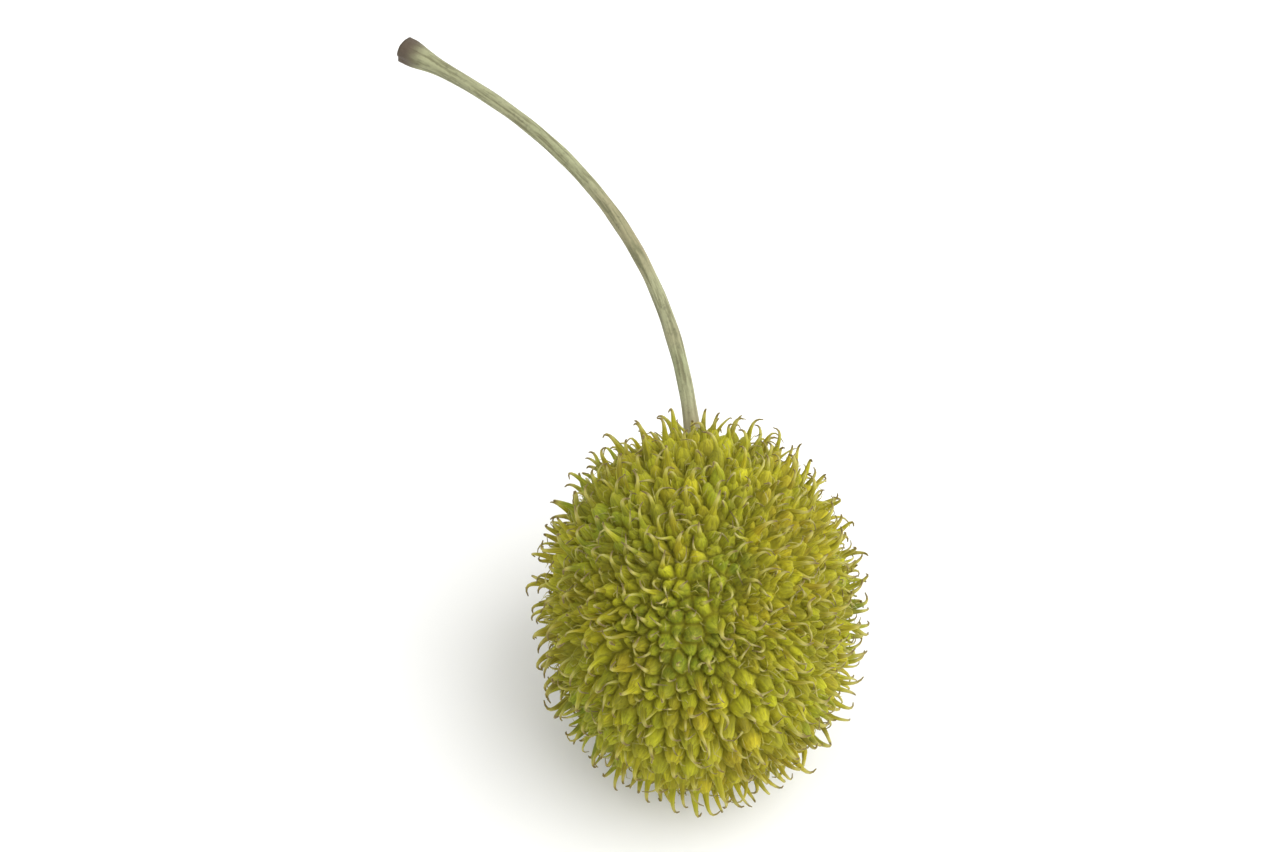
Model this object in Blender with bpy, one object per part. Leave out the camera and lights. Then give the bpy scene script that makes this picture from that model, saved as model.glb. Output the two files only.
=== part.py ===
"""A plane tree seed ball with its stalk, as picked, resting on a level surface.

Units are metres and +Z is up. The origin is the point of the surface under the ball's centre,
where the lowest style lies pressed flat. The stalk leaves towards +Y and bends round to -X.

The seed head is one solid. Its achenes are packed round one centre, like the cells of a net drawn
on a ball. Each achene top is a blunt cone that rises from the crevices round it, and carries a
slim three-sided style with a hooked tip. The stalk stands in a socket between the achenes.
"""

import math

import bmesh
import bpy
import numpy as np

# Seed head
ACHENE_COUNT = 470
CREVICE_RADIUS = 0.0106
ACHENE_TOP_RADIUS = 0.0117
STYLE_TIP_RADIUS = 0.0144
STALK_AXIS_STRETCH = 0.20  # the head is this share longer along its stalk than across it
PACKING_SEED = 11
PACKING_JITTER = 0.35  # share of the spacing by which an achene strays before the packing evens out
PACKING_ROUNDS = 6

# Styles: stations are the root, the bend, the hook and the tip, from the achene top outwards
STATION_REACH = np.array([0.0, 0.36, 0.76, 1.0])  # share of the style's height at each station
STATION_HOOK = np.array([0.0, 0.10, 0.42, 1.0])  # share of the hook's sideways reach
STATION_RADIUS = np.array([0.00048, 0.00030, 0.00018])  # the tip is a point
HOOK_REACH = (0.0006, 0.0016)
HEIGHT_RANGE = (0.70, 1.0)
SWIRLS = 12  # waves whose sum turns the styles' lean slowly over the head
SWIRL_TURNS = 3.0
STRAY = 0.8  # share of each style's lean that is its own
SIDES = np.radians([30.0, 150.0, 270.0])  # a flat side of the style faces out of its bend

# Rest: the ball has sunk a little into its lowest styles, which lie pressed on the surface
SETTLING = 0.0012
PRESS_SPREAD = 0.7  # how far a pressed style slides outwards for each unit it is pushed up
LOWEST_ACHENE = np.array([-0.095, 0.0, -1.0])  # its pressed style crosses the origin
PARTED_ANGLE = math.radians(27.0)  # styles this close to the stalk or the surface lean away from it

# Stalk
STALK_DIRECTION = np.array([-0.02, 0.912, 0.408])
SOCKET_DEPTH = 0.0028  # below the crevices
SOCKET_CLEARANCE = 0.0004
STALK_STRAIGHT = 0.0191  # from its foot to the first handle of its bend
STALK_BEND = (-0.0091, 0.0383, 0.0296)
STALK_END = (-0.0257, 0.0497, 0.0290)
STALK_POINTS = 26
STALK_RADIUS = 0.00060
FOOT_RADIUS = 0.00078
FOOT_LENGTH = 0.13  # share of the stalk over which its foot narrows
SCAR_RADIUS = 0.00120
SCAR_LENGTH = 0.055  # share of the stalk that swells into the scar at its far end

DOWN = np.array([0.0, 0.0, -1.0])


def unit(vectors):
    """The same vectors at length one."""
    vectors = np.asarray(vectors, float)
    return vectors / np.linalg.norm(vectors, axis=-1, keepdims=True)


STALK_AXIS = unit(STALK_DIRECTION)


def stretch(directions):
    """How much further out the head reaches along each direction, as it is longer along its stalk."""
    return 1.0 + STALK_AXIS_STRETCH * (directions @ STALK_AXIS) ** 2


CENTRE = np.array([0.0, 0.0, STYLE_TIP_RADIUS * float(stretch(DOWN)) - SETTLING])


def on_head(directions, radius):
    """Points of the head at a nominal radius along unit directions."""
    return CENTRE + directions * (radius * stretch(directions))[..., None]


def crevice_net(directions):
    """The net of crevices between achenes that sit at these directions.

    Returns the unit directions of the points where three achenes meet, and for each achene the
    indices of the points round it, unordered. Three neighbours on a ball are equally far from the
    normal of the flat triangle that joins them.
    """
    hull = bmesh.new()
    for direction in directions:
        hull.verts.new(direction)
    bmesh.ops.convex_hull(hull, input=hull.verts[:])
    hull.normal_update()
    hull.verts.index_update()
    hull.faces.index_update()
    normals = np.array([face.normal[:] for face in hull.faces])
    middles = np.array([face.calc_center_median()[:] for face in hull.faces])
    normals *= np.sign((normals * middles).sum(1))[:, None]
    rings = [[face.index for face in vert.link_faces] for vert in hull.verts]
    hull.free()
    return normals, rings


def packed_achenes():
    """Unit directions of the achenes: a jittered spiral, evened out as each moves to the middle of its cell.

    The lowest achene and the stalk keep their places: they are the first and the last direction.
    """
    rng = np.random.default_rng(PACKING_SEED)
    count = np.arange(ACHENE_COUNT)
    height = 1.0 - (2.0 * count + 1.0) / ACHENE_COUNT
    turn = count * math.pi * (3.0 - math.sqrt(5.0))
    across = np.sqrt(1.0 - height**2)
    directions = np.stack([across * np.cos(turn), across * np.sin(turn), height], 1)
    spacing = math.sqrt(4.0 * math.pi / ACHENE_COUNT)
    directions = unit(directions + rng.normal(0.0, PACKING_JITTER * spacing, directions.shape) / 3.0)
    fixed = unit(np.stack([LOWEST_ACHENE, STALK_AXIS]))
    taken = [int(np.argmax(directions @ place)) for place in fixed]
    directions = np.vstack([fixed[:1], np.delete(directions, taken, axis=0), fixed[1:]])
    for _ in range(PACKING_ROUNDS):
        corners, rings = crevice_net(directions)
        directions = unit([corners[ring].mean(0) for ring in rings])
        directions[[0, -1]] = fixed
    return directions


def hook_directions(directions):
    """The way each style leans and hooks, square to its achene.

    Waves across the head, each with a push of its own, add up to a lean that neighbours share. Each
    style strays from it a little, and those by the stalk and the surface lean away from them.
    """
    rng = np.random.default_rng(PACKING_SEED + 1)
    waves = rng.normal(0.0, SWIRL_TURNS, (3, SWIRLS))
    starts = rng.uniform(0.0, 2.0 * math.pi, SWIRLS)
    pushes = rng.normal(size=(SWIRLS, 3))
    hooks = np.cross(directions, np.sin(directions @ waves + starts) @ pushes)
    hooks = unit(hooks) + STRAY * unit(np.cross(directions, rng.normal(size=directions.shape)))
    for place in (STALK_AXIS, DOWN):
        near = directions @ place > math.cos(PARTED_ANGLE)
        hooks[near] = directions[near] - place
    hooks[[0, -1]] = (1.0, 0.0, 0.0)
    along = (hooks * directions).sum(1, keepdims=True)
    return unit(hooks - along * directions)


def style_stations(directions, hooks):
    """The middle of each style at its four stations, and which of them lie pressed on the surface."""
    rng = np.random.default_rng(PACKING_SEED + 2)
    shares = rng.uniform(*HEIGHT_RANGE, len(directions))
    reaches = rng.uniform(*HOOK_REACH, len(directions))
    shares[0] = 1.0
    height = (STYLE_TIP_RADIUS - ACHENE_TOP_RADIUS) * shares[:, None] * STATION_REACH
    outwards = (ACHENE_TOP_RADIUS + height) * stretch(directions)[:, None]
    sideways = reaches[:, None] * STATION_HOOK
    stations = CENTRE + outwards[..., None] * directions[:, None] + sideways[..., None] * hooks[:, None]
    lowest = np.append(STATION_RADIUS / 2.0, 0.0)
    push = np.maximum(lowest - stations[..., 2], 0.0)
    flat_hooks = unit(hooks * (1.0, 1.0, 0.0))
    stations += push[..., None] * (PRESS_SPREAD * flat_hooks[:, None] - DOWN)
    return stations, push > 0.0


def style_rings(directions, hooks, stations, pressed):
    """The three corners of each style at its root, bend and hook."""
    sides = np.cross(directions, hooks)
    ways = np.stack([directions, stations[:, 2] - stations[:, 0], stations[:, 3] - stations[:, 1]], 1)
    ways = np.where(pressed[:, :3, None], (hooks * (1.0, 1.0, 0.0))[:, None], ways)
    outsides = np.cross(unit(ways), sides[:, None])
    corners = (
        np.cos(SIDES)[:, None] * sides[:, None, None]
        + np.sin(SIDES)[:, None] * outsides[:, :, None]
    )
    rings = stations[:, :3, None] + STATION_RADIUS[:, None, None] * corners
    rings[..., 2] = np.maximum(rings[..., 2], 0.0)
    return rings


def band(outer, outer_turns, inner):
    """Triangles between a ring of crevice points and the three corners of a style's root.

    Both run anticlockwise seen from outside. The next triangle always takes the corner that
    comes first in angle, counted from the style's own first corner.
    """
    turns = np.mod(outer_turns - SIDES[0] + math.pi / 6.0, 2.0 * math.pi)
    order = np.argsort(turns)
    outer = [outer[k] for k in order] + [outer[order[0]]]
    outer_turns = np.append(turns[order], turns[order[0]] + 2.0 * math.pi)
    inner_turns = np.append(SIDES, SIDES[0] + 2.0 * math.pi) - SIDES[0] + math.pi / 6.0
    inner = [*inner, inner[0]]
    triangles = []
    i = j = 0
    while i < len(outer) - 1 or j < len(inner) - 1:
        outer_next = i < len(outer) - 1 and (
            j == len(inner) - 1 or outer_turns[i + 1] <= inner_turns[j + 1]
        )
        if outer_next:
            triangles.append((outer[i], outer[i + 1], inner[j]))
            i += 1
        else:
            triangles.append((outer[i], inner[j + 1], inner[j]))
            j += 1
    return triangles


def style_faces(first):
    """Faces of one style above its root, whose ten points are numbered from first."""
    faces = []
    for base in (first, first + 3):
        for k in range(3):
            after = (k + 1) % 3
            faces.append((base + k, base + after, base + after + 3, base + k + 3))
    faces += [(first + 6 + k, first + 6 + (k + 1) % 3, first + 9) for k in range(3)]
    return faces


def socket(ring, corners, first):
    """The floor points and the faces of the stalk's socket, sunk straight in from its ring of crevices."""
    mouth = on_head(corners[ring], CREVICE_RADIUS)
    depth = (mouth - CENTRE) @ STALK_AXIS
    floor_depth = CREVICE_RADIUS * float(stretch(STALK_AXIS)) - SOCKET_DEPTH
    floor = mouth + (floor_depth - depth)[:, None] * STALK_AXIS
    numbers = [first + k for k in range(len(ring))]
    faces = [tuple(numbers)]
    for k in range(len(ring)):
        after = (k + 1) % len(ring)
        faces.append((ring[k], ring[after], numbers[after], numbers[k]))
    return floor, faces


def seed_head_mesh():
    """The whole seed head as one closed mesh."""
    directions = packed_achenes()
    corners, rings = crevice_net(directions)
    hooks = hook_directions(directions)
    stations, pressed = style_stations(directions, hooks)
    roots = style_rings(directions, hooks, stations, pressed)
    styles = np.concatenate([roots.reshape(-1, 9, 3), stations[:, 3:]], 1)[:-1]
    points = [on_head(corners, CREVICE_RADIUS), styles.reshape(-1, 3)]
    faces = []
    for k, ring in enumerate(rings):
        side = np.cross(directions[k], hooks[k])
        turns = np.arctan2(-corners[ring] @ hooks[k], corners[ring] @ side)
        if k == len(rings) - 1:
            ring = [ring[n] for n in np.argsort(turns)]
            floor, walls = socket(ring, corners, len(corners) + 10 * k)
            points.append(floor)
            faces += walls
        else:
            first = len(corners) + 10 * k
            faces += band(ring, turns, (first, first + 1, first + 2))
            faces += style_faces(first)
    mesh = bpy.data.meshes.new("seed_head")
    mesh.from_pydata(np.concatenate(points).tolist(), [], faces)
    mesh.validate()
    return mesh


def stalk_curve():
    """The stalk: a bend that starts straight out of its socket, with a swollen foot and a scar at its end."""
    foot = CENTRE + STALK_AXIS * (
        CREVICE_RADIUS * float(stretch(STALK_AXIS)) - SOCKET_DEPTH + SOCKET_CLEARANCE
    )
    handles = np.array([foot, foot + STALK_AXIS * STALK_STRAIGHT, STALK_BEND, STALK_END])
    share = np.linspace(0.0, 1.0, STALK_POINTS)
    share = share + 0.02 * np.sin(2.0 * math.pi * share)
    weights = np.stack(
        [(1 - share) ** 3, 3 * share * (1 - share) ** 2, 3 * share**2 * (1 - share), share**3], 1
    )
    path = weights @ handles
    foot_swell = np.exp(-share / FOOT_LENGTH) * (FOOT_RADIUS - STALK_RADIUS)
    scar_swell = np.exp(-(((1.0 - share) / SCAR_LENGTH) ** 2)) * (SCAR_RADIUS - STALK_RADIUS)
    radii = STALK_RADIUS + foot_swell + scar_swell
    curve = bpy.data.curves.new("stem", "CURVE")
    curve.dimensions = "3D"
    curve.bevel_depth = 1.0
    curve.bevel_resolution = 2
    curve.use_fill_caps = True
    spline = curve.splines.new("POLY")
    spline.points.add(STALK_POINTS - 1)
    for point, place, radius in zip(spline.points, path, radii):
        point.co = (*place, 1.0)
        point.radius = radius
    return curve


def material(name, colour, roughness):
    """A Principled material of one colour."""
    made = bpy.data.materials.new(name)
    made.use_nodes = True
    shader = made.node_tree.nodes["Principled BSDF"]
    shader.inputs["Base Color"].default_value = (*colour, 1.0)
    shader.inputs["Roughness"].default_value = roughness
    shader.inputs["Metallic"].default_value = 0.0
    return made


def add(name, data, finish):
    """One named object for a sub-part."""
    data.materials.append(finish)
    made = bpy.data.objects.new(name, data)
    bpy.context.scene.collection.objects.link(made)
    return made


def main():
    for old in list(bpy.data.objects):
        bpy.data.objects.remove(old)
    add("seed_head", seed_head_mesh(), material("dried_achenes", (0.30, 0.27, 0.05), 0.75))
    add("stem", stalk_curve(), material("dried_stalk", (0.27, 0.27, 0.12), 0.65))


main()
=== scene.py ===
"""The looks of a plane tree seed ball that lies on a pale surface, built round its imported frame.

Lengths are metres and +Z is up. The frame's seed head and stalk give way to finer pieces that keep
their form: the achenes' tops, a hooked style on each, the lesser achenes and styles wedged
between them, the down that shows in the gaps, and the stalk with its scar.
"""

import logging
import math
from dataclasses import dataclass, field
from enum import Enum

import bmesh
import bpy
import numpy as np
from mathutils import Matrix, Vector

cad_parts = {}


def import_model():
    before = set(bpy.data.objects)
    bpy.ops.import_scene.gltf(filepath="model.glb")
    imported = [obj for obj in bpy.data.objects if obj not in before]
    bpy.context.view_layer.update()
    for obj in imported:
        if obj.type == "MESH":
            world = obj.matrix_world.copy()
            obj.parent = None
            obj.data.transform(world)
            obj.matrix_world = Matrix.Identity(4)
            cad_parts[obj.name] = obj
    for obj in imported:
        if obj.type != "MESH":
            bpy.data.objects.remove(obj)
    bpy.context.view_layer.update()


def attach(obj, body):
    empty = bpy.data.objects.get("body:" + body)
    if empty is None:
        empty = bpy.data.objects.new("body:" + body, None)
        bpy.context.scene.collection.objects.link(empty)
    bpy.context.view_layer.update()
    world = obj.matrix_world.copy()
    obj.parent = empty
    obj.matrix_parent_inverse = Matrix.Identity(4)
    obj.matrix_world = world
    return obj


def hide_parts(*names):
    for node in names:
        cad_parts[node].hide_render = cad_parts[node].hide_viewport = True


log = logging.getLogger("seed_ball")

BODY = "root"
DOWN = np.array([0.0, 0.0, -1.0])
# A direction that no achene lies in, from which the angle round each achene is measured
ASKEW = (0.3, 0.5, 0.8)
# Added to a length before something is divided by it, in case the length is nothing
TINY = 1e-6
TINIER = 1e-9
# What each random draw adds to the packing's seed, the first two as in the part's own source
LEAN_DRAW, STYLE_DRAW, WEDGE_DRAW, TOP_DRAW, DOWN_DRAW = 1, 2, 5, 7, 9


# Shared arithmetic


def unit(vectors: np.ndarray) -> np.ndarray:
    """Return the same vectors at length one."""
    vectors = np.asarray(vectors, float)
    return vectors / np.linalg.norm(vectors, axis=-1, keepdims=True)


def ease(values: np.ndarray, low: float, high: float) -> np.ndarray:
    """Return 0 below low, 1 above high, and a smooth cubic step in between."""
    share = np.clip((values - low) / (high - low), 0.0, 1.0)
    return share * share * (3.0 - 2.0 * share)


def linear(hex_colour: str) -> tuple[float, float, float, float]:
    """Turn an sRGB hex colour into the linear colour that shaders take.

    Args:
        hex_colour: six hex digits after a hash sign.

    Returns:
        Linear red, green, blue and an alpha of one.
    """
    channels = [int(hex_colour[k : k + 2], 16) / 255.0 for k in (1, 3, 5)]
    red, green, blue = (c / 12.92 if c <= 0.04045 else ((c + 0.055) / 1.055) ** 2.4 for c in channels)
    return red, green, blue, 1.0


def spiral(count: int) -> np.ndarray:
    """Spread directions evenly over a ball.

    Each is one equal step lower than the one before it, and turned from it by the golden angle.

    Args:
        count: how many directions there are.

    Returns:
        Unit directions.
    """
    number = np.arange(count)
    height = 1.0 - (2.0 * number + 1.0) / count
    turn = number * math.pi * (3.0 - math.sqrt(5.0))
    across = np.sqrt(1.0 - height**2)
    return np.stack([across * np.cos(turn), across * np.sin(turn), height], 1)


# Each wave's height, its count round a tube, its turns along it and its start
Wave = tuple[float, float, float, float]


def waves(kinds: tuple[Wave, ...], angle: np.ndarray | float, share: np.ndarray | float) -> np.ndarray:
    """Sum the waves on a tube.

    Each is its height times the sine of its count round times the angle, plus its turns along
    times the share of the length, plus its start.

    Args:
        kinds: the waves.
        angle: the angle round the tube.
        share: the share of the tube's length.

    Returns:
        The sum at each angle and share.
    """
    return sum(high * np.sin(count * angle + run * share + start) for high, count, run, start in kinds)


# Meshes from arrays


@dataclass
class Surface:
    """Points and faces of one piece, with what its finish reads at each point.

    Attributes:
        points: one row for each point.
        faces: arrays of point numbers, each with one row for each face.
        along: how far each point is from the root of its repeat, at 0, to its tip, at 1. The
            achenes' domes end short of 1, as their tips are the styles, and the stalk's torn end
            goes on from 1 at its rim to 2 in its middle.
        round_it: cosine and sine of the angle round each repeat.
        own: a number from 0 to 1 that each repeat has for itself.
    """

    points: np.ndarray
    faces: list[np.ndarray]
    along: np.ndarray
    round_it: np.ndarray
    own: np.ndarray

    def mesh(self, name: str) -> bpy.types.Object:
        """Make the piece's object, at the origin with its place in its mesh.

        Args:
            name: the piece's name.

        Returns:
            The new object, in the scene.
        """
        made = bpy.data.meshes.new(name)
        made.from_pydata(self.points.tolist(), [], [f for part in self.faces for f in part.tolist()])
        for title, values in (("along", self.along), ("own", self.own)):
            attribute = made.attributes.new(title, "FLOAT", "POINT")
            attribute.data.foreach_set("value", values.astype(np.float32))
        skin = np.column_stack([self.round_it, self.along]).astype(np.float32)
        made.attributes.new("skin", "FLOAT_VECTOR", "POINT").data.foreach_set("vector", skin.ravel())
        made.polygons.foreach_set("use_smooth", [True] * len(made.polygons))
        made.update()
        piece = bpy.data.objects.new(name, made)
        bpy.context.scene.collection.objects.link(piece)
        return piece


def ring_angles(sides: int) -> np.ndarray:
    """Return the angles of a ring's points, evenly round one turn."""
    return np.arange(sides) * (2.0 * math.pi / sides)


def tube_faces(rings: int, sides: int, turned: bool = False) -> list[np.ndarray]:
    """Number the faces of a closed tube, all of them outwards.

    Its points are numbered ring by ring, and its two end points come last.

    Args:
        rings: how many rings there are.
        sides: how many points each ring has.
        turned: whether the rings run anticlockwise, seen along the tube from its first end.

    Returns:
        The four-sided faces between the rings, and the triangles at both ends.
    """
    ring, side = np.meshgrid(np.arange(rings - 1), np.arange(sides), indexing="ij")
    here, after = ring * sides + side, ring * sides + (side + 1) % sides
    quads = np.stack([here, after, after + sides, here + sides], -1).reshape(-1, 4)
    first, last = np.arange(sides), (rings - 1) * sides
    following = (first + 1) % sides
    root, tip = np.full(sides, rings * sides), np.full(sides, rings * sides + 1)
    root_fan = np.stack([following, first, root], 1)
    tip_fan = np.stack([last + first, last + following, tip], 1)
    faces = [quads, np.concatenate([root_fan, tip_fan])]
    return [np.roll(each[:, ::-1], 1, axis=1) for each in faces] if turned else faces


def tube_skin(along: np.ndarray, ends: tuple[float, float], sides: int) -> tuple[np.ndarray, np.ndarray]:
    """Note what a finish reads on a closed tube, ring by ring and then at both end points.

    Args:
        along: how far along each ring is.
        ends: how far along the two end points are.
        sides: how many points each ring has.

    Returns:
        How far along each point is, and the cosine and sine of its angle round the tube.
    """
    turn = ring_angles(sides)
    circles = np.tile(np.stack([np.cos(turn), np.sin(turn)], 1), (len(along), 1))
    return np.append(np.repeat(along, sides), ends), np.concatenate([circles, np.zeros((2, 2))])


def sweep(
    paths: np.ndarray, radii: np.ndarray, sides: int, across: np.ndarray, own: np.ndarray
) -> Surface:
    """Carry a circle along many paths at once, and close each tube with a point at both ends.

    At each station the circle is turned square to the path: its first axis is across with what
    lies along the path taken out, and its second is the path's direction crossed with the first.

    Args:
        paths: repeats x stations x 3 points.
        radii: repeats x stations radii.
        sides: the circle's number of sides.
        across: repeats x 3 directions that no part of their path runs along.
        own: each repeat's own number.

    Returns:
        The surface of all the tubes.
    """
    repeats, stations, _ = paths.shape
    ways = unit(np.gradient(paths, axis=1))
    first = unit(across[:, None] - (ways * across[:, None]).sum(-1, keepdims=True) * ways)
    second = np.cross(ways, first)
    turn = ring_angles(sides)
    circle = first[:, :, None] * np.cos(turn)[:, None] + second[:, :, None] * np.sin(turn)[:, None]
    rings = paths[:, :, None] + radii[..., None, None] * circle
    points = np.concatenate([rings.reshape(repeats, -1, 3), paths[:, :1], paths[:, -1:]], 1)
    each = points.shape[1]
    starts = (np.arange(repeats) * each)[:, None, None]
    along, round_it = tube_skin(np.linspace(0.0, 1.0, stations), (0.0, 1.0), sides)
    return Surface(
        points.reshape(-1, 3),
        [(faces + starts).reshape(-1, faces.shape[1]) for faces in tube_faces(stations, sides)],
        np.tile(along, repeats),
        np.tile(round_it, (repeats, 1)),
        np.repeat(own, each),
    )


# Finishes

# Settings of a node that turns a value into a share, and of one that blends two colours
SMOOTH = {"interpolation_type": "SMOOTHSTEP"}
BLEND = {"data_type": "RGBA", "blend_type": "MIX", "clamp_factor": True}
# How far apart in one noise the streaks of two repeats are drawn
APART = (31.0, 57.0, 83.0)
# A repeat's own number times this, less its whole part, is a second number of its own
REUSE = 7.0


def add_node(
    tree: bpy.types.NodeTree,
    kind: str,
    settings: dict[str, object] | None = None,
    **links: object,
) -> bpy.types.Node:
    """Add one node with its settings, and with a link or a value on each named input.

    Args:
        tree: the material's node tree.
        kind: the node's type name, without its ShaderNode prefix.
        settings: the node's own properties.
        **links: input names with _ for a space, or inN for the input's number. Each is a socket
            to link, or a plain value.

    Returns:
        The node.
    """
    node = tree.nodes.new(f"ShaderNode{kind}")
    for name, value in (settings or {}).items():
        setattr(node, name, value)
    for name, value in links.items():
        key = int(name[2:]) if name.startswith("in") and name[2:].isdigit() else name.replace("_", " ")
        if isinstance(value, bpy.types.NodeSocket):
            tree.links.new(value, node.inputs[key])
        else:
            node.inputs[key].default_value = value
    return node


@dataclass(frozen=True)
class Coat:
    """A colour laid over the ones under it, as thick as one of the material's values says.

    Attributes:
        value: the value's socket.
        low: the value at which none of the coat shows.
        high: the value at which it covers all that is under it.
        colour: its colour, as a socket or a linear colour.
    """

    value: bpy.types.NodeSocket
    low: float
    high: float
    colour: object


def lay_coats(tree: bpy.types.NodeTree, ground: object, coats: list[Coat]) -> bpy.types.NodeSocket:
    """Lay coats over a ground, each blended in by a smooth step from its low to its high.

    Args:
        tree: the material's node tree.
        ground: the colour under them, as a socket or a linear colour.
        coats: the coats, the lowest first.

    Returns:
        The socket of the colour that shows.
    """
    shown = ground
    for coat in coats:
        share = add_node(tree, "MapRange", SMOOTH, Value=coat.value, From_Min=coat.low, From_Max=coat.high)
        blended = add_node(tree, "Mix", BLEND, in0=share.outputs["Result"], in6=shown, in7=coat.colour)
        shown = blended.outputs[2]
    return shown


def new_material(name: str) -> tuple[bpy.types.Material, bpy.types.NodeTree, bpy.types.Node]:
    """Make a material that holds only its output and shader.

    Args:
        name: the material's name.

    Returns:
        The material, its node tree and its Principled shader.
    """
    material = bpy.data.materials.new(name)
    material.use_nodes = True
    tree = material.node_tree
    tree.nodes.clear()
    shader = add_node(tree, "BsdfPrincipled")
    add_node(tree, "OutputMaterial", Surface=shader.outputs["BSDF"])
    return material, tree, shader


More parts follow.
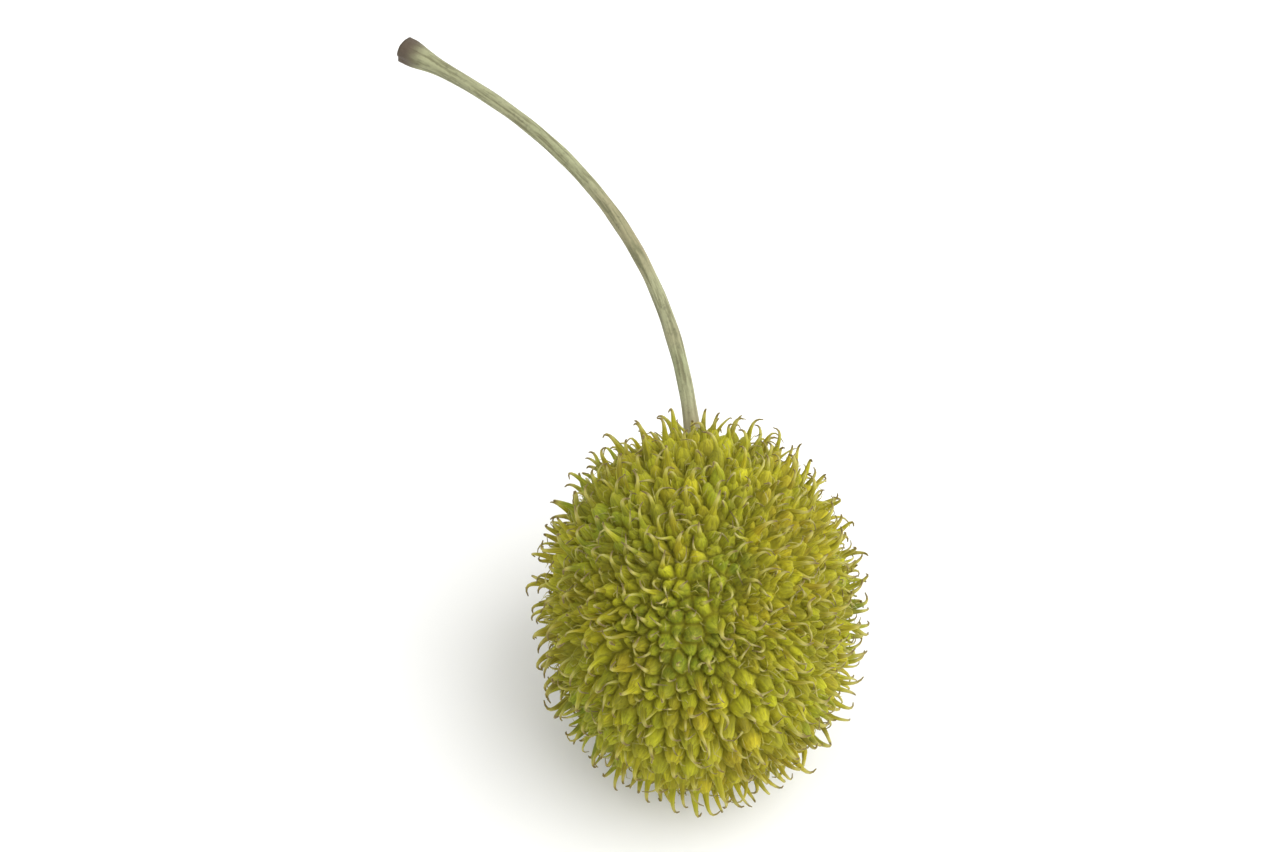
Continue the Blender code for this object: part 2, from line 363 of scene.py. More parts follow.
@dataclass(frozen=True)
class HuskFinish:
    """Dried plant husk, as on achenes, styles and down: matt, fibrous, paler where it is thin, with a
    painted highlight towards the tips and painted shade in the gaps.

    Attributes:
        name: the material's name.
        gap_shade: painted shade, the darker colour laid in the gaps and at the roots.
        husk: the main colour.
        ochre: colour of the riper patches.
        green: colour of the patches that dried unripe.
        pale: colour towards its tip, partly its own paler colour where it thins and partly a painted
            highlight.
        tip: colour of the withered end.
        gap_shade_end: how far along a repeat, from its root, the painted shade reaches.
        tip_start: how far along a repeat it begins to pale.
        fibre: how strongly the fibres stand up, as a bump distance in metres.
        wither: how far along a repeat it begins to wither.
        patch: width of the ochre and green patches.
        tuft: width of the lighter and darker tufts.
        grain: width of the finest fibres, drawn three times as coarse as real ones so that they show.
        streaks: how finely a repeat is streaked, in specks of the noise across its radius.
        elsewhere: how far off in the same noise the green patches and the tufts are drawn.
        ripe_lit_side: X at which the head starts to turn more ochre, and X from which it is most ochre,
            partly by ripeness and partly as painted light on the side the key light falls on.
        ripe_lit_gain: what that side adds to the ochre patches' noise.
        hues: least and greatest turn of a repeat's hue, where 0.5 is none.
        shades: least and greatest brightness of a repeat.
        tufted: brightness of the darkest and the lightest tufts.
        streaked: brightness of the darkest and the lightest streaks.
    """

    name: str
    gap_shade: str
    husk: str
    ochre: str
    green: str
    pale: str
    tip: str
    gap_shade_end: float
    tip_start: float
    fibre: float
    wither: float = 0.60
    patch: float = 0.0105
    tuft: float = 0.0030
    grain: float = 0.0003
    streaks: float = 2.4
    elsewhere: tuple[float, float, float] = (0.31, 0.17, 0.05)
    ripe_lit_side: tuple[float, float] = (-0.010, 0.016)
    ripe_lit_gain: float = 0.16
    hues: tuple[float, float] = (0.489, 0.511)
    shades: tuple[float, float] = (0.72, 0.98)
    tufted: tuple[float, float] = (0.72, 1.22)
    streaked: tuple[float, float] = (0.76, 1.16)

    def material(self) -> bpy.types.Material:
        """Make the material.

        Patches some 10 mm across turn ochre or green, and the +X side turns more ochre, partly by
        ripeness and partly as painted light where the key light falls. Each repeat has its own hue,
        and its own shade times that of the 3 mm tuft it stands in, with streaks from root to tip. It
        has painted shade at its root, down in the gaps, is pale towards its tip, partly as a painted
        highlight, and is withered at the very end.

        Returns:
            The material.
        """
        material, tree, shader = new_material(self.name)
        place = add_node(tree, "TexCoord").outputs["Object"]
        along = add_node(tree, "Attribute", {"attribute_name": "along"}).outputs["Fac"]
        own = add_node(tree, "Attribute", {"attribute_name": "own"}).outputs["Fac"]
        skin = add_node(tree, "Attribute", {"attribute_name": "skin"}).outputs["Vector"]
        shifted = add_node(tree, "Mapping", Vector=place, Location=self.elsewhere).outputs["Vector"]
        apart = add_node(tree, "VectorMath", {"operation": "SCALE"}, in0=APART, Scale=own)
        grown = add_node(tree, "VectorMath", in0=skin, in1=apart.outputs["Vector"]).outputs["Vector"]
        broad, other, tufts, streaks, fine = (
            add_node(
                tree, "TexNoise", Vector=where, Scale=scale, Detail=detail, Roughness=rough
            ).outputs["Fac"]
            for where, scale, detail, rough in (
                (place, 1.0 / self.patch, 2.0, 0.55),
                (shifted, 1.1 / self.patch, 2.0, 0.55),
                (shifted, 1.0 / self.tuft, 1.0, 0.5),
                (grown, self.streaks, 3.0, 0.6),
                (place, 1.0 / self.grain, 2.0, 0.6),
            )
        )
        sideways = add_node(tree, "SeparateXYZ", Vector=place).outputs["X"]
        low, high = self.ripe_lit_side
        side = add_node(tree, "MapRange", SMOOTH, Value=sideways, From_Min=low, From_Max=high)
        side = side.outputs["Result"]
        ripe_lit = add_node(tree, "Math", {"operation": "MULTIPLY_ADD"}, in0=side, in1=self.ripe_lit_gain, in2=broad)
        # The +X side turns more ochre: partly real ripeness and partly painted light where the key light
        # falls
        patches = [
            Coat(ripe_lit.outputs["Value"], 0.50, 0.82, linear(self.ochre)),
            Coat(other, 0.48, 0.72, linear(self.green)),
        ]
        colour = lay_coats(tree, linear(self.husk), patches)
        again = add_node(tree, "Math", {"operation": "MULTIPLY"}, in0=own, in1=REUSE).outputs["Value"]
        again = add_node(tree, "Math", {"operation": "FRACT"}, in0=again).outputs["Value"]
        hue, shade, tufted = (
            add_node(
                tree, "MapRange", Value=value, From_Min=low, From_Max=high, To_Min=span[0], To_Max=span[1]
            ).outputs["Result"]
            for value, low, high, span in (
                (own, 0.0, 1.0, self.hues),
                (again, 0.0, 1.0, self.shades),
                (tufts, 0.32, 0.68, self.tufted),
            )
        )
        shade = add_node(tree, "Math", {"operation": "MULTIPLY"}, in0=shade, in1=tufted).outputs["Value"]
        colour = add_node(tree, "HueSaturation", Color=colour, Hue=hue, Value=shade).outputs["Color"]
        darker, lighter = (
            add_node(tree, "HueSaturation", Color=colour, Value=bright).outputs["Color"]
            for bright in self.streaked
        )
        growth = [
            Coat(streaks, 0.34, 0.64, lighter),
            # The pale tip is partly the husk's own paler colour and partly a painted highlight
            Coat(along, self.tip_start, 0.80, linear(self.pale)),
            Coat(along, self.wither, 0.92, linear(self.tip)),
            # Painted shade: the gaps, and the roots down in them, are laid on darker
            Coat(along, self.gap_shade_end, 0.0, linear(self.gap_shade)),
        ]
        tree.links.new(lay_coats(tree, darker, growth), shader.inputs["Base Color"])
        rough = add_node(tree, "Math", {"operation": "ADD"}, in0=streaks, in1=fine).outputs["Value"]
        bump = add_node(tree, "Bump", Strength=0.9, Distance=self.fibre, Height=rough)
        tree.links.new(bump.outputs["Normal"], shader.inputs["Normal"])
        shader.inputs["Roughness"].default_value = 0.75
        shader.inputs["IOR"].default_value = 1.45
        shader.inputs["Subsurface Weight"].default_value = 0.35
        shader.inputs["Subsurface Radius"].default_value = (1.0, 0.9, 0.3)
        shader.inputs["Subsurface Scale"].default_value = 0.0010
        return material


@dataclass(frozen=True)
class StalkFinish:
    """Dried stalk skin: grey-green and finely ridged, with browner stretches and a torn end.

    Attributes:
        name: the material's name.
        skin: the main colour.
        brown: colour of the browner stretches, and of the foot where it leaves the head.
        green: colour of the greener stretches.
        groove: colour in the grooves that run along it.
        scar: colour of the torn end's rim and of the pith in its middle.
        wood: colour of the torn fibres between them.
        turns: how many grooves follow each other along the stalk.
        turns_round: how many of them lie side by side across it.
        patch: length of the brown and green stretches.
        grain: width of the specks.
        speck: brightness of the specks.
        fibre: how strongly grooves and specks stand out, as a bump distance in metres.
        elsewhere: how far off in the same noise the green stretches are drawn.
    """

    name: str
    skin: str
    brown: str
    green: str
    groove: str
    scar: str
    wood: str
    turns: float = 18.0
    turns_round: float = 2.2
    patch: float = 0.010
    grain: float = 0.00038
    speck: float = 0.62
    fibre: float = 0.00010
    elsewhere: tuple[float, float, float] = (0.21, 0.4, 0.1)

    def material(self) -> bpy.types.Material:
        """Make the material.

        Stretches some 10 mm long turn brown or green. Grooves run along the skin, with fine
        specks over it, the foot is brown and the torn end is darker at its rim and its pith.

        Returns:
            The material.
        """
        material, tree, shader = new_material(self.name)
        place = add_node(tree, "TexCoord").outputs["Object"]
        along = add_node(tree, "Attribute", {"attribute_name": "along"}).outputs["Fac"]
        skin = add_node(tree, "Attribute", {"attribute_name": "skin"}).outputs["Vector"]
        shifted = add_node(tree, "Mapping", Vector=place, Location=self.elsewhere).outputs["Vector"]
        stretched = (self.turns_round, self.turns_round, self.turns)
        drawn = add_node(tree, "Mapping", Vector=skin, Scale=stretched).outputs["Vector"]
        broad, other, grooves, fine = (
            add_node(
                tree, "TexNoise", Vector=where, Scale=scale, Detail=detail, Roughness=rough
            ).outputs["Fac"]
            for where, scale, detail, rough in (
                (place, 1.0 / self.patch, 2.0, 0.5),
                (shifted, 1.1 / self.patch, 2.0, 0.5),
                (drawn, 1.0, 3.0, 0.6),
                (place, 1.0 / self.grain, 4.0, 0.65),
            )
        )
        stretches = [
            Coat(broad, 0.42, 0.70, linear(self.brown)),
            Coat(other, 0.48, 0.74, linear(self.green)),
            Coat(grooves, 0.58, 0.36, linear(self.groove)),
        ]
        colour = lay_coats(tree, linear(self.skin), stretches)
        darker = add_node(tree, "HueSaturation", Color=colour, Value=self.speck).outputs["Color"]
        # Over the specks come the brown foot, and the torn end's rim, fibres and pith
        ends = [
            Coat(fine, 0.50, 0.78, darker),
            Coat(along, 0.16, 0.06, linear(self.brown)),
            Coat(along, 0.955, 0.99, linear(self.scar)),
            Coat(along, 1.05, 1.30, linear(self.wood)),
            Coat(along, 1.62, 1.90, linear(self.scar)),
        ]
        tree.links.new(lay_coats(tree, colour, ends), shader.inputs["Base Color"])
        rough = add_node(tree, "Math", {"operation": "ADD"}, in0=grooves, in1=fine).outputs["Value"]
        bump = add_node(tree, "Bump", Strength=0.9, Distance=self.fibre, Height=rough)
        tree.links.new(bump.outputs["Normal"], shader.inputs["Normal"])
        shader.inputs["Roughness"].default_value = 0.62
        shader.inputs["IOR"].default_value = 1.45
        return material


# Fused seed head


@dataclass(frozen=True)
class Packing:
    """Where the achenes sit. The sizes are those of the part's own source, so both agree.

    Attributes:
        count: how many main achenes there are, the stalk's socket included.
        crevice: nominal radius of the crevices.
        top: nominal radius of the achenes' tops.
        reach: nominal radius of the longest styles' tips.
        stretch_share: how much longer the head is along its stalk than across it.
        settling: how far the ball has sunk into its lowest styles.
        seed: seed of every random draw.
        stray: share of the spacing by which an achene strays before the packing evens out, as
            three standard deviations.
        rounds: rounds of evening out.
        lowest: direction of the lowest achene.
        stalk: direction of the stalk.
    """

    count: int = 470
    crevice: float = 0.0106
    top: float = 0.0117
    reach: float = 0.0144
    stretch_share: float = 0.20
    settling: float = 0.0012
    seed: int = 11
    stray: float = 0.35
    rounds: int = 6
    lowest: tuple[float, float, float] = (-0.095, 0.0, -1.0)
    stalk: tuple[float, float, float] = (-0.02, 0.912, 0.408)

    @property
    def axis(self) -> np.ndarray:
        """Return the stalk's unit direction."""
        return unit(self.stalk)

    @property
    def centre(self) -> np.ndarray:
        """Return the ball's centre."""
        return np.array([0.0, 0.0, self.reach * float(self.stretch(DOWN)) - self.settling])

    def stretch(self, directions: np.ndarray) -> np.ndarray:
        """Return how much further out the head reaches along each direction."""
        return 1.0 + self.stretch_share * (directions @ self.axis) ** 2

    def net(self, directions: np.ndarray) -> tuple[np.ndarray, list[list[int]]]:
        """Find the net of crevices between achenes at these directions.

        Three neighbours on a ball are equally far from the normal of the triangle between them.

        Args:
            directions: unit directions of the achenes.

        Returns:
            Unit directions of the net's corners, and the corners round each achene.
        """
        hull = bmesh.new()
        for direction in directions:
            hull.verts.new(direction)
        bmesh.ops.convex_hull(hull, input=hull.verts[:])
        hull.normal_update()
        hull.verts.index_update()
        hull.faces.index_update()
        normals = np.array([face.normal[:] for face in hull.faces])
        middles = np.array([face.calc_center_median()[:] for face in hull.faces])
        normals *= np.sign((normals * middles).sum(1))[:, None]
        rings = [[face.index for face in vert.link_faces] for vert in hull.verts]
        hull.free()
        return normals, rings

    def achenes(self) -> np.ndarray:
        """Place the main achenes: a jittered spiral that evens out, with the ends of the list kept.

        In each round of evening out, every achene moves to the mean of the corners round it.

        Returns:
            Unit directions, from the lowest achene to the stalk.
        """
        rng = np.random.default_rng(self.seed)
        directions = spiral(self.count)
        spacing = math.sqrt(4.0 * math.pi / self.count)
        directions = unit(directions + rng.normal(0.0, self.stray * spacing, directions.shape) / 3.0)
        fixed = unit(np.stack([np.array(self.lowest), self.axis]))
        taken = [int(np.argmax(directions @ place)) for place in fixed]
        directions = np.vstack([fixed[:1], np.delete(directions, taken, axis=0), fixed[1:]])
        for _ in range(self.rounds):
            corners, rings = self.net(directions)
            directions = unit([corners[ring].mean(0) for ring in rings])
            directions[[0, -1]] = fixed
        return directions

    def wedged(self, directions: np.ndarray, apart: float, clear: float) -> np.ndarray:
        """Place the lesser achenes in the net's corners.

        Each corner draws a number, and holds an achene if no nearby corner drew a lower one. A
        second round fills the corners that the first leaves without one nearby.

        Args:
            directions: unit directions of the main achenes.
            apart: the least angle between two lesser achenes.
            clear: the least angle between one of them and the stalk.

        Returns:
            Unit directions of the lesser achenes.
        """
        corners, _ = self.net(directions)
        corners = corners[corners @ self.axis < math.cos(clear)]
        rng = np.random.default_rng(self.seed + WEDGE_DRAW)
        drawn = rng.permutation(len(corners))
        near = corners @ corners.T > math.cos(apart)
        held = drawn <= np.where(near, drawn[None, :], len(corners)).min(1)
        free = ~(near & held[None, :]).any(1)
        late = free & (drawn <= np.where(near & free[None, :], drawn[None, :], len(corners)).min(1))
        return corners[held | late]


@dataclass(frozen=True)
class Lean:
    """The way the styles lean: alike among neighbours, in swirls, each a little astray.

    Attributes:
        swirls: waves whose sum turns the lean slowly over the head.
        turns: how fast the waves change across the head.
        parted: styles this close to the stalk or the surface lean away from it, in degrees.
    """

    swirls: int = 12
    turns: float = 3.0
    parted: float = 27.0

    def ways(self, directions: np.ndarray, packing: Packing, seed: int, stray: float) -> np.ndarray:
        """Work out each style's lean, square to its achene.

        The lean is an achene's direction crossed with a sum of pushes, each times the sine of a
        plane wave over the head, plus a random part.

        Args:
            directions: unit directions of the achenes.
            packing: the head's packing.
            seed: seed of each style's own part. With 0 the draws go on as in the part's source,
                where the first style leans along +X.
            stray: share of the lean that is a style's own.

        Returns:
            Unit directions square to the achenes.
        """
        rng = np.random.default_rng(packing.seed + LEAN_DRAW)
        swell = rng.normal(0.0, self.turns, (3, self.swirls))
        starts = rng.uniform(0.0, 2.0 * math.pi, self.swirls)
        pushes = rng.normal(size=(self.swirls, 3))
        ways = np.cross(directions, np.sin(directions @ swell + starts) @ pushes)
        if seed:
            rng = np.random.default_rng(seed)
        ways = unit(ways) + stray * unit(np.cross(directions, rng.normal(size=directions.shape)))
        for place in (packing.axis, DOWN):
            near = directions @ place > math.cos(math.radians(self.parted))
            ways[near] = directions[near] - place
        if not seed:
            ways[0] = (1.0, 0.0, 0.0)
        level = (ways * directions).sum(1, keepdims=True)
        return unit(ways - level * directions)


class Grade(Enum):
    """How strong a strand on the head is, with the name of the piece that it belongs to."""

    MAIN = "styles"
    LESSER = "lesser_styles"
    DOWN = "down"


@dataclass(frozen=True)
class StyleShape:
    """Sizes of one grade of style or hair.

    Attributes:
        grade: the piece it makes.
        seed: seed of its own draws.
        root: nominal radius at which it starts, inside its achene.
        heights: least and greatest height of its tip over the achene tops.
        reaches: least and greatest sideways reach of its hook.
        stray: share of each strand's lean that is its own.
        thick: radius at the root.
        thin: radius of the thread that the root tapers to.
        slim: power of the share that is left, by which the radius falls from thick to thin.
        over: least and greatest share of a half turn by which the tip bends over.
        sides: sides of its tube.
        stations: stations along it.
    """

    grade: Grade
    seed: int
    root: float
    heights: tuple[float, float]
    reaches: tuple[float, float]
    stray: float
    thick: float
    thin: float
    slim: float
    over: tuple[float, float]
    sides: int
    stations: int


STYLE = StyleShape(
    Grade.MAIN,
    seed=100,
    root=0.0108,
    heights=(0.70, 1.0),
    reaches=(0.0006, 0.0016),
    stray=0.8,
    thick=0.00094,
    thin=0.00020,
    slim=4.6,
    over=(0.47, 0.64),
    sides=6,
    stations=10,
)
LESSER_STYLE = StyleShape(
    Grade.LESSER,
    seed=110,
    root=0.0106,
    heights=(0.20, 0.80),
    reaches=(0.0007, 0.0020),
    stray=2.0,
    thick=0.00062,
    thin=0.00013,
    slim=4.0,
    over=(0.48, 0.68),
    sides=5,
    stations=9,
)
HAIR = StyleShape(
    Grade.DOWN,
    seed=120,
    root=0.0104,
    heights=(0.05, 0.55),
    reaches=(0.0004, 0.0014),
    stray=2.5,
    thick=0.00010,
    thin=0.00005,
    slim=1.0,
    over=(0.40, 0.60),
    sides=3,
    stations=5,
)


@dataclass
class SeedHead:
    """The seed head: tops of the achenes, styles on them, and down between them.

    Attributes:
        packing: where the achenes sit.
        lean: the way the styles lean.
        shapes: the grades of styles and hairs.
        lesser_apart: least angle between two lesser achenes.
        lesser_clear: least angle between a lesser achene and the stalk.
        lesser_weight: by how much an angle a lesser achene's cell is smaller.
        lesser_height: height of a lesser achene's dome, as a share of a main one's.
        rows: rows of the tops' grid, from the stalk's pole to the other.
        columns: columns of the tops' grid, round the stalk.
        batches: how many lots the grid is worked out in, to spare memory.
        crevice_floor: nominal radius of the deepest gaps.
        dome_top: nominal radius at the middle of a main achene's dome.
        dome_heights: least and greatest share of the dome's height that an achene draws.
        dome_power: power of what is left of the way up, by which the dome rounds off.
        dome_along: how far along its repeat the middle of a dome counts as being.
        socket_floor: nominal radius of the floor of the stalk's socket.
        socket_wall: share of the way to the socket's middle over which its wall goes down.
        powers: least and greatest power of the share by which a strand moves sideways.
        sway: spread of a strand's sway to either side, as a share of its reach.
        stoutness: least and greatest share of its radius that a strand draws.
        thread_loss: share of the thread's radius that is gone at its tip.
        spread: how far a pressed style slides outwards for each unit it is pushed up.
        hairs: how many hairs of down there are, before those by the stalk are left out.
        hair_stray: how far a hair's root strays, as a standard deviation.
        hair_clear: least angle between a hair and the stalk.
    """

    packing: Packing = field(default_factory=Packing)
    lean: Lean = field(default_factory=Lean)
    shapes: tuple[StyleShape, ...] = (STYLE, LESSER_STYLE, HAIR)
    lesser_apart: float = 0.075
    lesser_clear: float = 0.14
    lesser_weight: float = 0.012
    lesser_height: float = 0.72
    rows: int = 190
    columns: int = 380
    batches: int = 40
    crevice_floor: float = 0.0114
    dome_top: float = 0.01285
    dome_heights: tuple[float, float] = (0.86, 1.06)
    dome_power: float = 2.6
    dome_along: float = 0.75
    socket_floor: float = 0.0080
    socket_wall: float = 0.35
    powers: tuple[float, float] = (1.7, 2.9)
    sway: float = 0.15
    stoutness: tuple[float, float] = (0.85, 1.15)
    thread_loss: float = 0.75
    spread: float = 0.7
    hairs: int = 2000
    hair_stray: float = 0.02
    hair_clear: float = 0.11

    def tops(self, main: np.ndarray, lesser: np.ndarray) -> Surface:
        """Raise the achenes' tops from a ball.

        At each direction of the grid, near and next are the angles to the nearest achene and to
        the one after it, with the lesser achenes' weight added to theirs. Their difference over
        their sum, the share, is 0 in a crevice and 1 in the middle of an achene. The radius rises
        with one less a power of what is left of the share, which makes a dome that is steep at
        the crevice and round on top. The stalk's own cell goes down to the socket's floor.

        Args:
            main: unit directions of the main achenes.
            lesser: unit directions of the lesser achenes.

        Returns:
            The surface.
        """
        pack = self.packing
        axis = pack.axis
        east = unit(np.cross(axis, DOWN))
        north = np.cross(axis, east)
        tilt = np.linspace(0.0, math.pi, self.rows + 2)[1:-1]
        tilt, turn = np.meshgrid(tilt, ring_angles(self.columns), indexing="ij")
        grid = (
            np.cos(tilt)[..., None] * axis
            + (np.sin(tilt) * np.cos(turn))[..., None] * east
            + (np.sin(tilt) * np.sin(turn))[..., None] * north
        ).reshape(-1, 3)
        grid = np.concatenate([grid, axis[None], -axis[None]])
        seats = np.concatenate([main, lesser])
        give = np.concatenate([np.zeros(len(main)), np.full(len(lesser), self.lesser_weight)])
        height = np.concatenate([np.ones(len(main)), np.full(len(lesser), self.lesser_height)])
        rng = np.random.default_rng(pack.seed + TOP_DRAW)
        height *= rng.uniform(*self.dome_heights, len(seats))
        own = rng.uniform(0.0, 1.0, len(seats))
        share, seat = np.empty(len(grid)), np.empty(len(grid), int)
        for rows in np.array_split(np.arange(len(grid)), self.batches):
            angles = np.arccos(np.clip(grid[rows] @ seats.T, -1.0, 1.0)) + give
            nearest = np.argpartition(angles, 1, axis=1)[:, :2]
            two = np.take_along_axis(angles, nearest, 1)
            order = np.argsort(two, 1)
            near, following = np.take_along_axis(two, order, 1).T
            seat[rows] = np.take_along_axis(nearest, order, 1)[:, 0]
            share[rows] = (following - near) / (following + near)
        first = unit(np.cross(seats, ASKEW))[seat]
        second = np.cross(seats[seat], first)
        round_it = np.stack([((grid - seats[seat]) * way).sum(1) for way in (first, second)], 1)
        round_it /= np.linalg.norm(round_it, axis=1, keepdims=True) + TINY
        dome = (1.0 - (1.0 - share) ** self.dome_power) * height[seat]
        radius = self.crevice_floor + (self.dome_top - self.crevice_floor) * dome
        down_it = (self.socket_floor - self.crevice_floor) * ease(share, 0.0, self.socket_wall)
        radius = np.where(seat == len(main) - 1, self.crevice_floor + down_it, radius)
        points = pack.centre + grid * (radius * pack.stretch(grid))[:, None]
        faces = tube_faces(self.rows, self.columns, turned=True)
        return Surface(points, faces, self.dome_along * share, round_it, own[seat])

    def strands(self, shape: StyleShape, directions: np.ndarray) -> Surface:
        """Grow one strand from each direction.

        Outwards a strand rises with the sine of its share of the way, past its highest point
        where it bends over. Sideways it moves along its lean with its own power of that share, so
        that it leaves its achene straight and hooks at its end, and it sways across its lean by
        one sine wave. Its radius is a root that falls with a power of what is left of the way,
        plus a thread that thins towards the tip. What would pass under the surface is pushed up
        to lie on it, and slides outwards.

        Args:
            shape: the strands' sizes.
            directions: unit directions of their roots.

        Returns:
            The surface of all the strands.
        """
        pack = self.packing
        count = len(directions)
        main = shape.grade is Grade.MAIN
        hooks = self.lean.ways(directions, pack, 0 if main else shape.seed, shape.stray)
        # The styles' heights and reaches are drawn as in the part's source, the socket's included
        rng = np.random.default_rng(pack.seed + STYLE_DRAW if main else shape.seed + 1)
        drawn = pack.count if main else count
        tall = rng.uniform(*shape.heights, drawn)[:count]
        reach = rng.uniform(*shape.reaches, drawn)[:count, None]
        if main:
            tall[0] = 1.0
        rng = np.random.default_rng(shape.seed + 2)
        share = np.linspace(0.0, 1.0, shape.stations)
        rise = np.sin(share * math.pi * rng.uniform(*shape.over, count)[:, None])
        rise = rise / rise.max(1, keepdims=True)
        aside = share ** rng.uniform(*self.powers, count)[:, None]
        over_top = (pack.reach - pack.top) * tall[:, None]
        outwards = shape.root + (pack.top - shape.root + over_top) * rise
        sway = rng.normal(0.0, self.sway, count)[:, None] * reach * np.sin(share * 2.0 * math.pi)
        across = np.cross(directions, hooks)
        paths = (
            pack.centre
            + (outwards * pack.stretch(directions)[:, None])[..., None] * directions[:, None]
            + (reach * aside)[..., None] * hooks[:, None]
            + sway[..., None] * across[:, None]
        )
        taper = (shape.thick - shape.thin) * (1.0 - share) ** shape.slim
        taper = taper + shape.thin * (1.0 - self.thread_loss * share**2)
        radii = taper * rng.uniform(*self.stoutness, count)[:, None]
        push = np.maximum(radii - paths[..., 2], 0.0)
        level = hooks * (1.0, 1.0, 0.0) + TINIER
        paths += push[..., None] * (self.spread * unit(level)[:, None] - DOWN)
        return sweep(paths, radii, shape.sides, across, rng.uniform(0.0, 1.0, count))

    def hair_roots(self) -> np.ndarray:
        """Scatter the down's roots evenly, as a spiral with a small random shift.

        Returns:
            Unit directions of the roots.
        """
        rng = np.random.default_rng(self.packing.seed + DOWN_DRAW)
        roots = spiral(self.hairs)
        roots = unit(roots + rng.normal(0.0, self.hair_stray, roots.shape))
        return roots[roots @ self.packing.axis < math.cos(self.hair_clear)]

    def build(self) -> list[bpy.types.Object]:
        """Build the head's pieces and dress them.

        Returns:
            The pieces.
        """
        main = self.packing.achenes()
        lesser = self.packing.wedged(main, self.lesser_apart, self.lesser_clear)
        tops = self.tops(main, lesser).mesh("achenes")
        tops.data.materials.append(ACHENE_HUSK.material())
        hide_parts("seed_head")
        pieces = [tops]
        roots = {Grade.MAIN: main[:-1], Grade.LESSER: lesser, Grade.DOWN: self.hair_roots()}
        for shape in self.shapes:
            piece = self.strands(shape, roots[shape.grade]).mesh(shape.grade.value)
            piece.data.materials.append(STRAND_HUSKS[shape.grade].material())
            pieces.append(piece)
        for piece in pieces:
            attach(piece, BODY)
        return pieces


# Stalk


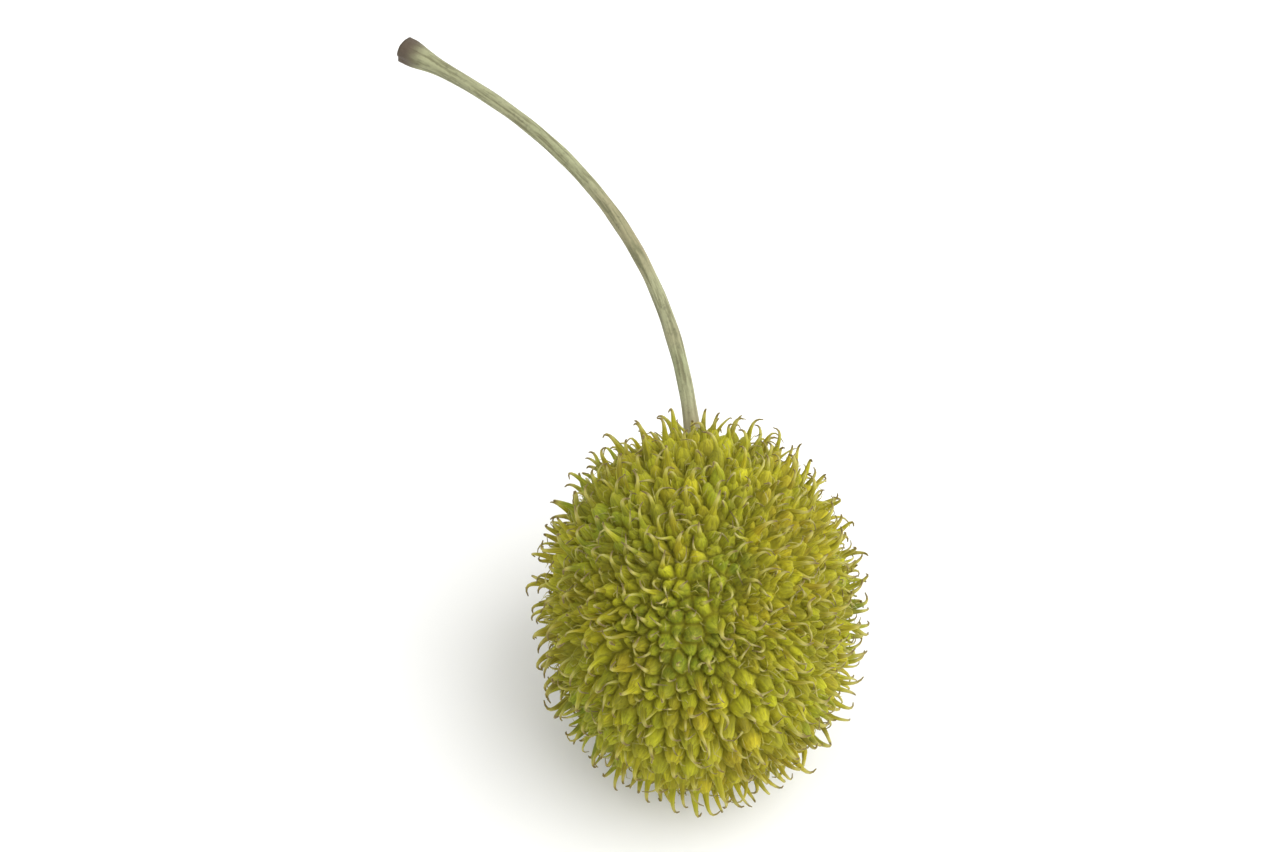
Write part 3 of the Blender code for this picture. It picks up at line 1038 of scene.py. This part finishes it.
@dataclass
class Stalk:
    """The stalk: one bend, a swollen foot in its socket, ridged skin, and a torn scar.

    Attributes:
        packing: the head's packing, whose socket it stands in.
        sunk: depth of its foot below the crevices.
        straight: length from its foot to the first handle of its bend.
        bend: second handle of its bend.
        end: its far end.
        slender: radius along its middle.
        foot: radius at its foot.
        foot_share: share of its length over which the foot narrows.
        scar: radius at its far end.
        scar_share: share of its length that swells into the scar.
        stations: stations along it.
        sides: points round it.
        nodes: waves of its radius along it.
        ridges: waves of its radius round it.
        twist: angle by which the ridges turn from its foot to its end.
        ragged: waves of the torn rim.
        ragged_start: share of its length at which the rim starts to be ragged.
        end_rings: rings across the torn end.
        end_shares: width of the torn end's first and last ring, as a share of the rim's.
        end_depth: depth of the torn end's dish.
        end_torn: how far the torn fibres stand out of the dish or sink into it.
        torn: waves of the torn fibres, whose length runs from the middle to the rim.
        pith: share of the rim's width over which the fibres die away in the middle.
    """

    packing: Packing = field(default_factory=Packing)
    sunk: float = 0.0024
    straight: float = 0.0191
    bend: tuple[float, float, float] = (-0.0091, 0.0383, 0.0296)
    end: tuple[float, float, float] = (-0.0257, 0.0497, 0.0290)
    slender: float = 0.00060
    foot: float = 0.00078
    foot_share: float = 0.13
    scar: float = 0.00120
    scar_share: float = 0.055
    stations: int = 260
    sides: int = 40
    nodes: tuple[Wave, ...] = ((0.025, 0.0, 31.0, 0.0), (0.02, 0.0, 77.0, 1.0))
    ridges: tuple[Wave, ...] = ((0.045, 5.0, 0.0, 0.0), (0.03, 8.0, 9.0, 0.0))
    twist: float = 1.6
    ragged: tuple[Wave, ...] = ((0.10, 3.0, 0.0, 0.7), (0.04, 7.0, 0.0, 2.0))
    ragged_start: float = 0.965
    end_rings: int = 8
    end_shares: tuple[float, float] = (0.92, 0.12)
    end_depth: float = 0.00020
    end_torn: float = 0.00005
    torn: tuple[Wave, ...] = ((1.0, 6.0, 14.0, 0.0), (1.0, 9.0, -21.0, 0.0))
    pith: float = 0.4

    def surface(self) -> Surface:
        """Carry a ridged circle along the stalk's bend.

        The bend is a cubic curve through its foot and end. The radius is the sum of a slender
        middle, a foot that dies away exponentially and a bell at the scar, times faint nodes
        along the way and low ridges round it that twist slowly. The last stations grow ragged, no
        wider than the scar. Rings of torn fibres close the end, each sunk into a dish by one less
        the fourth power of its share of the rim's width.

        Returns:
            The surface.
        """
        pack = self.packing
        depth = pack.crevice * float(pack.stretch(pack.axis)) - self.sunk
        foot = pack.centre + pack.axis * depth
        handles = np.array([foot, foot + pack.axis * self.straight, self.bend, self.end])
        share = np.linspace(0.0, 1.0, self.stations)
        rest = 1.0 - share
        weights = np.stack([rest**3, 3 * share * rest**2, 3 * share**2 * rest, share**3], 1)
        path = weights @ handles
        ways = unit(np.gradient(path, axis=0))
        side = unit(np.cross(ways, (0.0, 0.0, 1.0)))
        upper = np.cross(side, ways)
        radii = self.slender + np.exp(-share / self.foot_share) * (self.foot - self.slender)
        radii = radii + np.exp(-((rest / self.scar_share) ** 2)) * (self.scar - self.slender)
        radii = radii * (1.0 + waves(self.nodes, 0.0, share))
        turn = ring_angles(self.sides)
        ridges = 1.0 + waves(self.ridges, turn + self.twist * share[:, None], share[:, None])
        rim = 1.0 + waves(self.ragged, turn, 0.0) * ease(share, self.ragged_start, 1.0)[:, None]
        width = np.minimum(radii[:, None] * ridges * rim, self.scar)
        circle = np.cos(turn)[:, None] * side[:, None] + np.sin(turn)[:, None] * upper[:, None]
        points = path[:, None] + width[..., None] * circle
        dish = np.linspace(*self.end_shares, self.end_rings)[:, None]
        torn = self.end_torn * waves(self.torn, turn, dish) * ease(dish, 0.0, self.pith)
        sink = np.maximum(self.end_depth * (1.0 - dish**4) + torn, 0.0)
        inner = path[-1] - sink[..., None] * ways[-1] + dish[..., None] * (points[-1] - path[-1])
        points = np.concatenate([points, inner]).reshape(-1, 3)
        points = np.concatenate([points, path[:1], path[-1:] - self.end_depth * ways[-1:]])
        far = np.append(share, 2.0 - dish)
        along, round_it = tube_skin(far, (0.0, 2.0), self.sides)
        faces = tube_faces(len(far), self.sides, turned=True)
        return Surface(points, faces, along, round_it, np.zeros(len(points)))

    def build(self) -> list[bpy.types.Object]:
        """Build the stalk and dress it.

        Returns:
            The pieces.
        """
        stalk = self.surface().mesh("stalk")
        stalk.data.materials.append(STALK_SKIN.material())
        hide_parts("stem")
        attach(stalk, BODY)
        return [stalk]


# Finishes of this ball

# Dried achene husk: matt plant fibre, olive with ochre and green patches, with painted shade in the gaps
# and paler dome tops that are partly a painted highlight.
ACHENE_HUSK = HuskFinish(
    "dried_achene_husk",
    gap_shade="#928C12",
    husk="#ACA818",
    ochre="#AA9E16",
    green="#929C1E",
    pale="#B8B238",
    tip="#A39C24",
    gap_shade_end=0.24,
    tip_start=0.40,
    fibre=0.00012,
    wither=0.68,
)
# Dried style: a thin strand of the same matt fibre, with painted shade at its root, pale towards its tip,
# partly as a painted highlight, and brown at its end.
STYLE_HUSK = HuskFinish(
    "dried_style_fibre",
    gap_shade="#8A860C",
    husk="#9C9714",
    ochre="#A2960E",
    green="#8A9418",
    pale="#BCB466",
    tip="#6A5A34",
    gap_shade_end=0.26,
    tip_start=0.45,
    fibre=0.00010,
)
# Dried lesser style: thinner still, so it is a little lighter all along, with painted shade at its root and
# a pale tip that is partly a painted highlight.
LESSER_HUSK = HuskFinish(
    "dried_thin_style_fibre",
    gap_shade="#8C880E",
    husk="#A09A1C",
    ochre="#A49814",
    green="#909A20",
    pale="#BEB66C",
    tip="#6E5E38",
    gap_shade_end=0.30,
    tip_start=0.40,
    fibre=0.00008,
)
# Dried down: the fine hair round an achene's foot, straw-coloured to its tip, partly as a painted
# highlight, almost smooth, with painted shade at its root.
DOWN_HAIR = HuskFinish(
    "dried_achene_down",
    gap_shade="#8A860E",
    husk="#9C9618",
    ochre="#A08C1A",
    green="#909420",
    pale="#ACA444",
    tip="#A09448",
    gap_shade_end=0.30,
    tip_start=0.45,
    fibre=0.00002,
)
STRAND_HUSKS = {Grade.MAIN: STYLE_HUSK, Grade.LESSER: LESSER_HUSK, Grade.DOWN: DOWN_HAIR}
# Dried stalk skin: grey-green and matt, browner in places, dark where it tore from its twig.
STALK_SKIN = StalkFinish(
    "dried_stalk_skin",
    skin="#9A9B77",
    brown="#948A6A",
    green="#90986E",
    groove="#767554",
    scar="#54483A",
    wood="#9A8A66",
)


# Studio


@dataclass
class Studio:
    """A plain pale floor, soft light from the upper right, and a camera that looks down steeply.

    Attributes:
        target: the point that the camera looks at.
        distance: from the target to the camera.
        elevation: the camera's angle over the horizon, in degrees.
        lens: focal length in millimetres, on a sensor 36 mm wide.
        floor_size: width of the floor.
        surround: strength of the white light from all round.
    """

    target: tuple[float, float, float] = (-0.0049, 0.0176, 0.0160)
    distance: float = 0.305
    elevation: float = 52.0
    lens: float = 100.0
    floor_size: float = 6.0
    surround: float = 0.86

    def floor(self) -> None:
        """Lay the floor, a plain sheet of white board at the height that the ball rests on."""
        half = self.floor_size / 2.0
        corners = np.array([[-half, -half, 0.0], [half, -half, 0.0], [half, half, 0.0], [-half, half, 0.0]])
        plain = np.zeros(4)
        sheet = Surface(corners, [np.array([[0, 1, 2, 3]])], plain, np.zeros((4, 2)), plain).mesh("floor")
        # White board: matt and almost white, so it throws soft light back under the ball.
        material, _, shader = new_material("white_board")
        shader.inputs["Base Color"].default_value = linear("#F4F4F2")
        shader.inputs["Roughness"].default_value = 0.9
        sheet.data.materials.append(material)

    def light(self, name: str, place: tuple[float, float, float], size: float, watts: float) -> None:
        """Hang a square soft light that faces the target.

        Args:
            name: the light's name.
            place: where it hangs, from the target.
            size: its width.
            watts: its power.
        """
        lamp = bpy.data.lights.new(name, "AREA")
        lamp.size = size
        lamp.energy = watts
        hung = bpy.data.objects.new(name, lamp)
        hung.location = Vector(self.target) + Vector(place)
        hung.rotation_mode = "QUATERNION"
        hung.rotation_quaternion = (-Vector(place)).to_track_quat("-Z", "Y")
        bpy.context.scene.collection.objects.link(hung)

    def camera(self) -> None:
        """Place the camera, looking along +Y and down."""
        angle = math.radians(self.elevation)
        back = Vector((0.0, -math.cos(angle), math.sin(angle)))
        lens = bpy.data.cameras.new("camera")
        lens.lens = self.lens
        lens.clip_start, lens.clip_end = 0.01, 20.0
        camera = bpy.data.objects.new("camera", lens)
        camera.location = Vector(self.target) + back * self.distance
        camera.rotation_mode = "QUATERNION"
        camera.rotation_quaternion = (-back).to_track_quat("-Z", "Y")
        bpy.context.scene.collection.objects.link(camera)
        bpy.context.scene.camera = camera

    def build(self) -> None:
        """Set up the floor, the lights, the surrounding light and the camera."""
        self.floor()
        self.light("key", place=(0.57, -0.17, 0.57), size=1.1, watts=9.0)
        self.light("fill", place=(-0.6, -0.2, 0.6), size=0.9, watts=0.6)
        world = bpy.data.worlds.new("surround")
        world.use_nodes = True
        background = world.node_tree.nodes["Background"]
        background.inputs["Color"].default_value = (1.0, 1.0, 1.0, 1.0)
        background.inputs["Strength"].default_value = self.surround
        bpy.context.scene.world = world
        bpy.context.scene.view_settings.view_transform = "Standard"
        self.camera()


def main() -> None:
    """Load the frame, build the pieces and the studio, and log each piece's points and faces."""
    logging.basicConfig(level=logging.INFO, format="%(message)s")
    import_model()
    for part in (SeedHead(), Stalk()):
        for piece in part.build():
            mesh = piece.data
            log.info("%s: %d points, %d faces", piece.name, len(mesh.vertices), len(mesh.polygons))
    Studio().build()
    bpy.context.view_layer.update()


if __name__ == "__main__":
    main()
